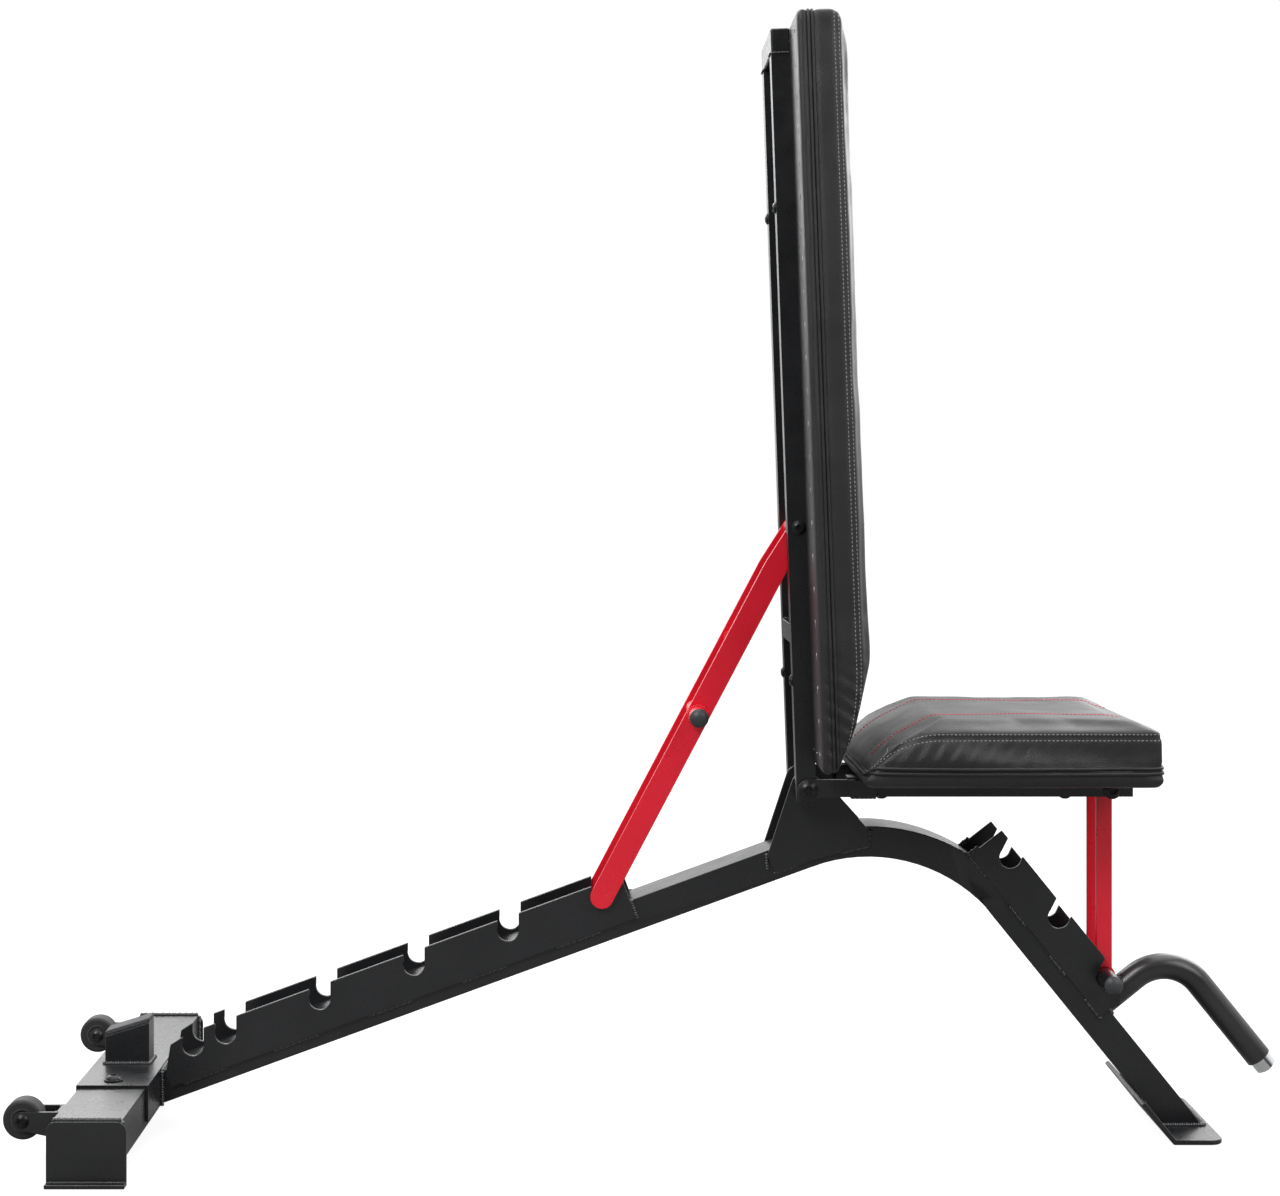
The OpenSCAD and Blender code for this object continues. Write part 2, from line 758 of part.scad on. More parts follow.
module seat_handle_tube() {
    color("#2b2c2e") on_seat_strut() difference() {
        rod_y([0, -seat_strut_len], seat_handle_r, -seat_handle_half, seat_handle_half);
        rod_y([0, -seat_strut_len], seat_handle_r - rail_wall, -BIG / 2, BIG / 2);
    }
}

module seat_handle_caps() {
    color("#26282a") on_seat_strut() translate([0, 0, -seat_strut_len])
        handle_caps(seat_handle_r, seat_handle_half);
}

main_tube();
ladder_plate(NEAR);  // ladder_plate_near
ladder_plate(FAR);  // ladder_plate_far
tower_plate(NEAR);  // tower_plate_near
tower_plate(FAR);  // tower_plate_far
rack_plate(NEAR);  // rack_plate_near
rack_plate(FAR);  // rack_plate_far
rear_cross_tube();
rear_foot_plate(NEAR);  // rear_foot_plate_near
rear_foot_plate(FAR);  // rear_foot_plate_far
rear_saddle();
saddle_bolts();
rest_post();
rest_post_pad();
wheel_bracket(NEAR);  // wheel_bracket_near
wheel_bracket(FAR);  // wheel_bracket_far
wheel_hub(NEAR);  // wheel_hub_near
wheel_hub(FAR);  // wheel_hub_far
wheel_tyre(NEAR);  // wheel_tyre_near
wheel_tyre(FAR);  // wheel_tyre_far
wheel_axle_bolts();
front_foot_plate();
carry_handle_tube();
carry_handle_sleeve();
carry_handle_cap();
main_hinge_bolt();
main_hinge_bushes();
back_rail(NEAR);  // back_rail_near
back_rail(FAR);  // back_rail_far
back_top_cross_tube();
back_lower_cross_tube();
back_board();
back_cushion();
back_pad_bolts();
strut_pivot_bolt();
strut_bar(NEAR);  // strut_bar_near
strut_bar(FAR);  // strut_bar_far
strut_top_sleeve();
strut_spacer();
strut_handle_tube();
strut_handle_caps();
seat_rail(NEAR);  // seat_rail_near
seat_rail(FAR);  // seat_rail_far
seat_cross_tubes();
seat_hinge_ear(NEAR);  // seat_hinge_ear_near
seat_hinge_ear(FAR);  // seat_hinge_ear_far
seat_board();
seat_cushion();
seat_pad_bolts();
seat_pivot_bolt();
seat_pivot_spacers();
seat_strut_bar(NEAR);  // seat_strut_bar_near
seat_strut_bar(FAR);  // seat_strut_bar_far
seat_strut_sleeve();
seat_handle_tube();
seat_handle_caps();
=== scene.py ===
"""Looks for the adjustable weight bench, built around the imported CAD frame."""
import json
import math

import bmesh
import bpy
from mathutils import Matrix, Vector, noise
from mathutils.bvhtree import BVHTree


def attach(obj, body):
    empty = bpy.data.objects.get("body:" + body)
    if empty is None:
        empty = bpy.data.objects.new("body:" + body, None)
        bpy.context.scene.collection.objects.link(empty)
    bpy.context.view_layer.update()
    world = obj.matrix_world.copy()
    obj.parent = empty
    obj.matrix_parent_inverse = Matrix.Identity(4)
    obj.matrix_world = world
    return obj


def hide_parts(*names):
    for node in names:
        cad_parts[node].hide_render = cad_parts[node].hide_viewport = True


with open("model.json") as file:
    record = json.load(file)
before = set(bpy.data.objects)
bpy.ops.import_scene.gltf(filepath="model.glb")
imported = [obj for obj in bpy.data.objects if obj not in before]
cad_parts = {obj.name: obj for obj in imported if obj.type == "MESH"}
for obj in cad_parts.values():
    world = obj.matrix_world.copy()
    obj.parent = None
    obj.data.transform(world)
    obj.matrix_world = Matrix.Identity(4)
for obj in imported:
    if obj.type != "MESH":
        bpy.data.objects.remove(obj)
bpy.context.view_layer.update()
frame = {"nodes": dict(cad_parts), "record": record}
MM = 0.001
NODES = frame["nodes"]
JOINTS = {j["name"]: j for j in frame["record"]["behaviour"]["joints"]}
BODY_OF = {n: b for b, names in frame["record"]["behaviour"]["bodies"].items() for n in names}
SLOT_OF = {s["node"]: s["material_slot"] for s in frame["record"]["subparts"]}
HINGE = Vector(JOINTS["back_recline"]["pos_m"])
SPINE_ANGLE = math.radians(20)
LEG_ANGLE = math.radians(51)
LEAN = math.radians(2)


# ---------- camera, light and floor ----------
def camera_and_stage():
    """A level camera in front of the near side, framed with a shift, in a pale studio."""
    data = bpy.data.cameras.new("camera")
    data.sensor_width = 36
    data.lens = 65.2
    data.shift_x = 0.039
    data.shift_y = -0.0945
    cam = bpy.data.objects.new("camera", data)
    cam.location = (-0.0736, -2.44, 0.679)
    cam.rotation_euler = (math.radians(90), 0, 0)
    bpy.context.collection.objects.link(cam)
    bpy.context.scene.camera = cam

    bpy.context.scene.view_settings.view_transform = "Standard"
    bpy.context.scene.world = studio_world()
    lights = (("key", (-1.6, -2.6, 2.9), 1.6, 95), ("fill", (2.6, -2.2, 2.4), 2.0, 55),
              ("top", (0.2, 0.5, 3.2), 3.6, 80), ("rim", (-1.6, 2.6, 2.2), 2.0, 60),
              ("rim_right", (2.0, 2.4, 2.0), 2.0, 50))
    for name, place, size, power in lights:
        lamp = bpy.data.lights.new(name, "AREA")
        lamp.size = size
        lamp.energy = power
        holder = bpy.data.objects.new(name, lamp)
        holder.location = place
        aim = Vector((0, 0, 0.45)) - Vector(place)
        holder.rotation_euler = aim.to_track_quat("-Z", "Y").to_euler()
        bpy.context.collection.objects.link(holder)

    bpy.ops.mesh.primitive_plane_add(size=60, location=(0, 0, -0.0006))
    floor = bpy.context.object
    floor.name = "floor"
    pale = finish_material("floor_pale", (0.19, 0.19, 0.19), (0.21, 0.21, 0.21), rough=(0.7, 0.8),
                           specular=0.1, grain=(40, 0.02, 0.0004))
    shader = pale.node_tree.nodes["Principled BSDF"]
    shader.inputs["Emission Color"].default_value = (1, 1, 1, 1)
    floor.data.materials.append(pale)
    glow_for_camera(pale, 0.88)


def glow_for_camera(mat, strength):
    """Lifts the floor to a studio's white where it is seen, without lighting the bench from below."""
    nodes, links = mat.node_tree.nodes, mat.node_tree.links
    path = nodes.new("ShaderNodeLightPath")
    lift = nodes.new("ShaderNodeMath")
    lift.operation = "MULTIPLY"
    lift.inputs[1].default_value = strength
    links.new(path.outputs["Is Camera Ray"], lift.inputs[0])
    links.new(lift.outputs["Value"], nodes["Principled BSDF"].inputs["Emission Strength"])


def studio_world():
    """White behind and above, dim towards the near side, so that black faces stay black there."""
    world = bpy.data.worlds.new("studio")
    world.use_nodes = True
    nodes, links = world.node_tree.nodes, world.node_tree.links
    coords = nodes.new("ShaderNodeTexCoord")
    parts = nodes.new("ShaderNodeSeparateXYZ")
    fall = nodes.new("ShaderNodeMapRange")
    fall.interpolation_type = "SMOOTHSTEP"
    fall.inputs["From Min"].default_value = -0.75
    fall.inputs["From Max"].default_value = 0.1
    fall.inputs["To Min"].default_value = 0.04
    fall.inputs["To Max"].default_value = 1.05
    shown = nodes.new("ShaderNodeBackground")
    shown.inputs["Color"].default_value = (1, 1, 1, 1)
    shown.inputs["Strength"].default_value = 1.0
    lit = nodes["Background"]
    lit.inputs["Color"].default_value = (1, 1, 1, 1)
    path = nodes.new("ShaderNodeLightPath")
    mix = nodes.new("ShaderNodeMixShader")
    links.new(coords.outputs["Generated"], parts.inputs["Vector"])
    links.new(parts.outputs["Y"], fall.inputs["Value"])
    links.new(fall.outputs["Result"], lit.inputs["Strength"])
    links.new(path.outputs["Is Camera Ray"], mix.inputs["Fac"])
    links.new(lit.outputs["Background"], mix.inputs[1])
    links.new(shown.outputs["Background"], mix.inputs[2])
    links.new(mix.outputs["Shader"], nodes["World Output"].inputs["Surface"])
    return world


# ---------- materials ----------
def node_chain(mat):
    tree = mat.node_tree
    return tree, tree.nodes, tree.links, tree.nodes["Principled BSDF"]


def finish_material(name, dark, light, rough=(0.35, 0.5), metallic=0.0, grain=(900, 0.2, 0.0002),
                    mottle=14.0, coat=0.0, specular=0.5, cells=None, scuffs=None, stretch=None):
    """A painted, moulded or covered finish: mottled colour, uneven gloss and a fine relief.

    grain is (scale, strength, height); cells adds pebbled relief as (scale, strength, height);
    scuffs is (colour, amount) for rubbed specks; stretch scales the coordinates, as for wood or steel.
    """
    mat = bpy.data.materials.new(name)
    mat.use_nodes = True
    tree, nodes, links, shader = node_chain(mat)
    shader.inputs["Metallic"].default_value = metallic
    shader.inputs["Coat Weight"].default_value = coat
    shader.inputs["Coat Roughness"].default_value = 0.18
    shader.inputs["Specular IOR Level"].default_value = specular
    coords = nodes.new("ShaderNodeTexCoord")
    place = nodes.new("ShaderNodeMapping")
    place.inputs["Scale"].default_value = stretch or (1, 1, 1)
    links.new(coords.outputs["Object"], place.inputs["Vector"])

    blot = nodes.new("ShaderNodeTexNoise")
    blot.inputs["Scale"].default_value = mottle
    blot.inputs["Detail"].default_value = 6
    links.new(place.outputs["Vector"], blot.inputs["Vector"])
    ramp = nodes.new("ShaderNodeValToRGB")
    ramp.color_ramp.elements[0].position = 0.3
    ramp.color_ramp.elements[1].position = 0.7
    ramp.color_ramp.elements[0].color = (*dark, 1)
    ramp.color_ramp.elements[1].color = (*light, 1)
    links.new(blot.outputs["Fac"], ramp.inputs["Fac"])
    colour = ramp.outputs["Color"]
    if scuffs:
        speck = nodes.new("ShaderNodeTexNoise")
        speck.inputs["Scale"].default_value = 95
        speck.inputs["Detail"].default_value = 8
        speck.inputs["Roughness"].default_value = 0.7
        links.new(place.outputs["Vector"], speck.inputs["Vector"])
        cut = nodes.new("ShaderNodeMapRange")
        cut.inputs["From Min"].default_value = 0.66
        cut.inputs["From Max"].default_value = 0.74
        cut.inputs["To Max"].default_value = scuffs[1]
        links.new(speck.outputs["Fac"], cut.inputs["Value"])
        mix = nodes.new("ShaderNodeMix")
        mix.data_type = "RGBA"
        mix.inputs["B"].default_value = (*scuffs[0], 1)
        links.new(cut.outputs["Result"], mix.inputs["Factor"])
        links.new(colour, mix.inputs["A"])
        colour = mix.outputs["Result"]
    links.new(colour, shader.inputs["Base Color"])

    gloss = nodes.new("ShaderNodeTexNoise")
    gloss.inputs["Scale"].default_value = mottle * 3.1
    gloss.inputs["Detail"].default_value = 5
    links.new(place.outputs["Vector"], gloss.inputs["Vector"])
    span = nodes.new("ShaderNodeMapRange")
    span.inputs["From Min"].default_value = 0.3
    span.inputs["From Max"].default_value = 0.7
    span.inputs["To Min"].default_value = rough[0]
    span.inputs["To Max"].default_value = rough[1]
    links.new(gloss.outputs["Fac"], span.inputs["Value"])
    links.new(span.outputs["Result"], shader.inputs["Roughness"])

    fine = nodes.new("ShaderNodeTexNoise")
    fine.inputs["Scale"].default_value = grain[0]
    fine.inputs["Detail"].default_value = 3
    links.new(place.outputs["Vector"], fine.inputs["Vector"])
    bump = nodes.new("ShaderNodeBump")
    bump.inputs["Strength"].default_value = grain[1]
    bump.inputs["Distance"].default_value = grain[2]
    links.new(fine.outputs["Fac"], bump.inputs["Height"])
    if cells:
        pebble = nodes.new("ShaderNodeTexVoronoi")
        pebble.feature = "F1"
        pebble.inputs["Scale"].default_value = cells[0]
        links.new(place.outputs["Vector"], pebble.inputs["Vector"])
        second = nodes.new("ShaderNodeBump")
        second.inputs["Strength"].default_value = cells[1]
        second.inputs["Distance"].default_value = cells[2]
        links.new(pebble.outputs["Distance"], second.inputs["Height"])
        links.new(second.outputs["Normal"], bump.inputs["Normal"])
    links.new(bump.outputs["Normal"], shader.inputs["Normal"])
    return mat


def make_materials():
    """One finish for each material slot of the record, and the extra ones for trim."""
    worn = (0.06, 0.06, 0.063)
    return {
        "frame_black": finish_material("frame_black", (0.009, 0.0095, 0.0105), (0.014, 0.0145, 0.016),
                                       rough=(0.24, 0.34), coat=0.1, grain=(1100, 0.3, 0.0002),
                                       scuffs=(worn, 0.2)),
        "strut_red": finish_material("strut_red", (0.7, 0.006, 0.022), (0.78, 0.009, 0.03),
                                     rough=(0.26, 0.34), coat=0.25, grain=(1000, 0.2, 0.0002),
                                     scuffs=((0.4, 0.01, 0.02), 0.12)),
        "end_cap": finish_material("end_cap", (0.025, 0.027, 0.03), (0.05, 0.052, 0.056),
                                   rough=(0.38, 0.5), cells=(900, 0.25, 0.0003)),
        "cushion_cover": finish_material("cushion_cover", (0.011, 0.011, 0.012),
                                         (0.018, 0.018, 0.019), rough=(0.4, 0.5), mottle=9,
                                         specular=0.45, cells=(780, 0.5, 0.0005),
                                         grain=(260, 0.25, 0.0005)),
        "board": finish_material("board", (0.26, 0.15, 0.075), (0.4, 0.26, 0.14), rough=(0.6, 0.75),
                                 mottle=8, stretch=(1, 9, 9), grain=(300, 0.4, 0.0004)),
        "bolt_black": finish_material("bolt_black", (0.012, 0.012, 0.013), (0.03, 0.03, 0.032),
                                      rough=(0.24, 0.4), metallic=0.6, scuffs=((0.2, 0.2, 0.2), 0.5)),
        "bush_steel": finish_material("bush_steel", (0.4, 0.4, 0.41), (0.5, 0.5, 0.51),
                                      rough=(0.3, 0.45), metallic=1.0, stretch=(1, 12, 1)),
        "tyre": finish_material("tyre", (0.014, 0.014, 0.014), (0.024, 0.024, 0.024),
                                rough=(0.6, 0.75), cells=(1200, 0.4, 0.0003)),
        "wheel_hub": finish_material("wheel_hub", (0.045, 0.046, 0.05), (0.065, 0.067, 0.07),
                                     rough=(0.4, 0.52), cells=(1100, 0.2, 0.0002)),
        "rest_rubber": finish_material("rest_rubber", (0.04, 0.04, 0.043), (0.075, 0.075, 0.08),
                                       rough=(0.65, 0.8), cells=(420, 0.8, 0.0008)),
        "handle_grip": finish_material("handle_grip", (0.016, 0.016, 0.017), (0.026, 0.026, 0.028),
                                       rough=(0.28, 0.38), coat=0.2, cells=(1300, 0.15, 0.0002)),
        "handle_chrome": finish_material("handle_chrome", (0.68, 0.69, 0.71), (0.78, 0.79, 0.8),
                                         rough=(0.08, 0.16), metallic=1.0, grain=(400, 0.04, 0.0001)),
        "weld": finish_material("weld", (0.02, 0.021, 0.023), (0.04, 0.041, 0.044),
                                rough=(0.22, 0.32), coat=0.4, grain=(700, 0.4, 0.0003)),
        "thread_grey": finish_material("thread_grey", (0.3, 0.3, 0.31), (0.42, 0.42, 0.43),
                                       rough=(0.6, 0.75), mottle=300, grain=(2500, 0.5, 0.0002)),
        "thread_red": finish_material("thread_red", (0.62, 0.01, 0.03), (0.78, 0.02, 0.045),
                                      rough=(0.6, 0.75), mottle=300, grain=(2500, 0.5, 0.0002)),
        "staple": finish_material("staple", (0.4, 0.4, 0.41), (0.55, 0.55, 0.56), rough=(0.25, 0.4),
                                  metallic=1.0),
    }


# ---------- helpers ----------
def mesh_object(name, mesh, material, body, smooth=True):
    obj = bpy.data.objects.new(name, mesh)
    bpy.context.collection.objects.link(obj)
    mesh.materials.clear()
    mesh.materials.append(material)
    if smooth:
        mesh.polygons.foreach_set("use_smooth", [True] * len(mesh.polygons))
    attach(obj, body)
    return obj


def evaluated_mesh(obj):
    graph = bpy.context.evaluated_depsgraph_get()
    return bpy.data.meshes.new_from_object(obj.evaluated_get(graph))


def scratch_object(name, mesh):
    obj = bpy.data.objects.new(name, mesh)
    bpy.context.collection.objects.link(obj)
    return obj


def drop(obj):
    bpy.data.objects.remove(obj, do_unlink=True)


def soften(node, width, segments=3):
    """Stands a copy of a CAD node with rounded edges in its place."""
    source = NODES[node]
    work = bmesh.new()
    work.from_mesh(source.data)
    work.transform(source.matrix_world)
    bmesh.ops.remove_doubles(work, verts=work.verts, dist=1e-5)
    bmesh.ops.dissolve_limit(work, angle_limit=math.radians(1), verts=work.verts, edges=work.edges)
    mesh = bpy.data.meshes.new(node + "_soft")
    work.to_mesh(mesh)
    work.free()
    mesh.polygons.foreach_set("use_smooth", [True] * len(mesh.polygons))
    temp = scratch_object("temp", mesh)
    bevel = temp.modifiers.new("round", "BEVEL")
    bevel.width = width
    bevel.segments = segments
    bevel.limit_method = "ANGLE"
    bevel.angle_limit = math.radians(40)
    weighted = temp.modifiers.new("weighted", "WEIGHTED_NORMAL")
    weighted.weight = 80
    final = evaluated_mesh(temp)
    drop(temp)
    slot_name = SLOT_OF[node]
    obj = mesh_object(node + "_finish", final, MATERIALS[slot_name], BODY_OF[node],
                      smooth=False)
    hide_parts(node)
    return obj


def bead_chain(work, points, radius, spacing, flat=0.75):
    """Overlapping squashed beads along a polyline, as a weld's ripples."""
    for a, b in zip(points, points[1:]):
        run = b - a
        count = max(2, int(run.length / spacing))
        for i in range(count + 1):
            at = a + run * (i / count)
            jitter = 1 + 0.12 * math.sin(i * 2.3 + a.x * 90)
            size = radius * jitter
            turn = run.to_track_quat("X", "Z").to_matrix().to_4x4()
            form = Matrix.Translation(at) @ turn @ Matrix.Diagonal((size * flat, size, size, 1))
            bmesh.ops.create_icosphere(work, subdivisions=2, radius=1, matrix=form)


def weld(name, body, lines, radius=2.6 * MM, spacing=2.4 * MM):
    work = bmesh.new()
    for points in lines:
        bead_chain(work, points, radius, spacing)
    mesh = bpy.data.meshes.new(name)
    work.to_mesh(mesh)
    work.free()
    return mesh_object(name, mesh, MATERIALS["weld"], body)


def tube_along(name, points, radius, closed, sides=8):
    """A thin round cord mesh along points."""
    work = bmesh.new()
    rings = []
    total = len(points)
    for i, point in enumerate(points):
        before = points[(i - 1) % total] if closed or i else points[i]
        after = points[(i + 1) % total] if closed or i + 1 < total else points[i]
        turn = (after - before).to_track_quat("Z", "Y")
        ring = []
        for k in range(sides):
            angle = 2 * math.pi * k / sides
            spoke = Vector((radius * math.cos(angle), radius * math.sin(angle), 0))
            ring.append(work.verts.new(point + turn @ spoke))
        rings.append(ring)
    pairs = list(zip(rings, rings[1:])) + ([(rings[-1], rings[0])] if closed else [])
    for first, second in pairs:
        for k in range(sides):
            work.faces.new((first[k], first[(k + 1) % sides], second[(k + 1) % sides], second[k]))
    if not closed:
        work.faces.new(list(reversed(rings[0])))
        work.faces.new(rings[-1])
    bmesh.ops.recalc_face_normals(work, faces=work.faces)
    mesh = bpy.data.meshes.new(name)
    work.to_mesh(mesh)
    work.free()
    return mesh


def stitches_along(name, runs, pitch=4.2 * MM, long=3.0 * MM, thick=0.75 * MM):
    """Short rounded threads, one per stitch, lying along each run of (point, normal)."""
    work = bmesh.new()
    size = Matrix.Diagonal((long / 2, thick / 2, thick / 2, 1))
    for run in runs:
        left = 0.0
        for (a, na), (b, _) in zip(run, run[1:]):
            step = b - a
            if step.length < 1e-6:
                continue
            while left < step.length:
                at = a + step.normalized() * left + na * 0.15 * MM
                turn = step.to_track_quat("X", "Z").to_matrix().to_4x4()
                form = Matrix.Translation(at) @ turn @ size
                bmesh.ops.create_icosphere(work, subdivisions=1, radius=1, matrix=form)
                left += pitch
            left -= step.length
    mesh = bpy.data.meshes.new(name)
    work.to_mesh(mesh)
    work.free()
    return mesh


# ---------- welds ----------
DATUM = Vector((-73.6 * MM, 0, 0))                  # where the frame's drawing starts
APEX = DATUM + Vector((350 * MM, 0, 334 * MM))      # where the main tube's centre lines meet
BEND_R = 185 * MM
TANGENT = BEND_R * math.tan((SPINE_ANGLE + LEG_ANGLE) / 2)
SPINE_U = Vector((math.cos(SPINE_ANGLE), 0, math.sin(SPINE_ANGLE)))
SPINE_V = Vector((-math.sin(SPINE_ANGLE), 0, math.cos(SPINE_ANGLE)))
LEG_U = Vector((math.cos(LEG_ANGLE), 0, -math.sin(LEG_ANGLE)))
LEG_V = Vector((math.sin(LEG_ANGLE), 0, math.cos(LEG_ANGLE)))
ACROSS = Vector((0, 1, 0))


def on_spine(u, v, y):
    return APEX - SPINE_U * TANGENT + (SPINE_U * u + SPINE_V * v + ACROSS * y) * MM


def on_leg(u, v, y):
    return APEX + LEG_U * TANGENT + (LEG_U * u + LEG_V * v + ACROSS * y) * MM


def on_datum(x, z, y):
    return DATUM + Vector((x, y, z)) * MM


def on_back(x, z, y):
    forward = Vector((math.cos(LEAN), 0, math.sin(LEAN)))
    up = Vector((-math.sin(LEAN), 0, math.cos(LEAN)))
    return HINGE + (forward * x + up * z + ACROSS * y) * MM


def rectangle(place, corners, y_near, y_far):
    """A closed run round a section whose two heights are given as points in x and z."""
    (x0, z0), (x1, z1) = corners
    return [place(x0, z0, y_near), place(x0, z0, y_far), place(x1, z1, y_far), place(x1, z1, y_near),
            place(x0, z0, y_near)]


def frame_welds():
    side_y = 30.6                                   # just outside the main tube's sides
    foot_y = 217.6                                  # where the rear tube meets its end plates
    wheel_y = 172
    ear_y = 11.8                                    # outer edge of a wheel bracket's ear
    lines = []
    for side in (-1, 1):
        y = side * side_y
        for u in (-690, -590, -486, -382, -278):
            lines.append([on_spine(u, -3.4, y), on_spine(u + 46, -3.4, y)])
        lines.append([on_spine(-189.6, -3, y), on_spine(-189.6, 15, y)])
        for u in (-64, 2, 68, 126):
            lines.append([on_leg(u, 3.4, y), on_leg(u + 24, 3.4, y)])
        lines.append([on_leg(-67.4, 4, y), on_leg(-67.2, 15, y)])
        lines.append([on_datum(184, 272, y), on_datum(183.5, 286, y)])
        lines.append([on_datum(192, 267.4, y), on_datum(214, 275, y)])
        lines.append([on_datum(262, 289, y), on_datum(288, 295.4, y), on_datum(290.6, 311, y)])
        lines.append([on_datum(596, 5.6, y), on_datum(637, 5.6, y)])
        lines.append([on_datum(-445, 27, y), on_datum(-445, 60, y)])
        lines.append([on_datum(-514, 62.6, side * foot_y), on_datum(-451, 62.6, side * foot_y)])
        lines.append([on_datum(-448.4, 24, side * foot_y), on_datum(-448.4, 60, side * foot_y)])
        for s in (-1, 1):
            edge = side * wheel_y + s * ear_y
            lines.append([on_datum(-519.4, 40, edge), on_datum(-519.4, 60, edge)])
    lines.append([on_datum(638, 5.6, -29), on_datum(638, 5.6, 29)])
    lines.append([on_datum(-445, 61.6, -29), on_datum(-445, 61.6, 29)])
    lines.append(rectangle(on_datum, ((-508, 65.4), (-461.2, 65.4)), -14.4, 14.4))
    ring = [on_leg(148.8 + 14 * math.cos(a), 16.4, 14 * math.sin(a))
            for a in (2 * math.pi * i / 28 for i in range(29))]
    lines.append(ring)
    weld("frame_welds", "frame", lines)


def back_welds():
    lines = []
    for side in (-1, 1):
        outer, inner = side * 61.7, side * 41.3
        lines.append([on_back(-10.5, 757, outer), on_back(7, 757, outer)])
        lines.append([on_back(-11.8, 757, side * 59), on_back(-11.8, 757, side * 44)])
        for z in (149.6, 170.4):
            lines.append([on_back(-10, z, inner), on_back(7, z, inner)])
    weld("back_welds", "back", lines, radius=1.5 * MM, spacing=1.5 * MM)


def seat_welds():
    lines = []
    for side in (-1, 1):
        edge = side * 62.6
        lines.append([on_datum(294.4, 352.5, edge), on_datum(294.4, 368, edge)])
        lines.append([on_datum(268, 350.4, edge), on_datum(292, 350.4, edge)])
    weld("seat_welds", "seat", lines, radius=1.7 * MM, spacing=1.6 * MM)


def strut_welds():
    """Rings where the red strut's cross handle passes through its two bars."""
    pivot = Vector(JOINTS["back_strut_swing"]["pos_m"])
    angle = math.radians(27.8)
    down = Vector((-math.sin(angle), 0, -math.cos(angle)))
    aside = Vector((math.cos(angle), 0, -math.sin(angle)))
    work = bmesh.new()
    for along, radius, bar_face in ((220, 10.2, 40.4), (135, 7.6, 34.6)):
        for y in (-bar_face, bar_face):
            ring = [pivot + down * along * MM + (aside * math.cos(a) + down * math.sin(a)) * radius * MM
                    + ACROSS * y * MM for a in (2 * math.pi * i / 24 for i in range(25))]
            bead_chain(work, ring, 1.3 * MM, 1.5 * MM)
    mesh = bpy.data.meshes.new("strut_welds")
    work.to_mesh(mesh)
    work.free()
    mesh_object("strut_welds", mesh, MATERIALS["strut_red"], "back_strut")


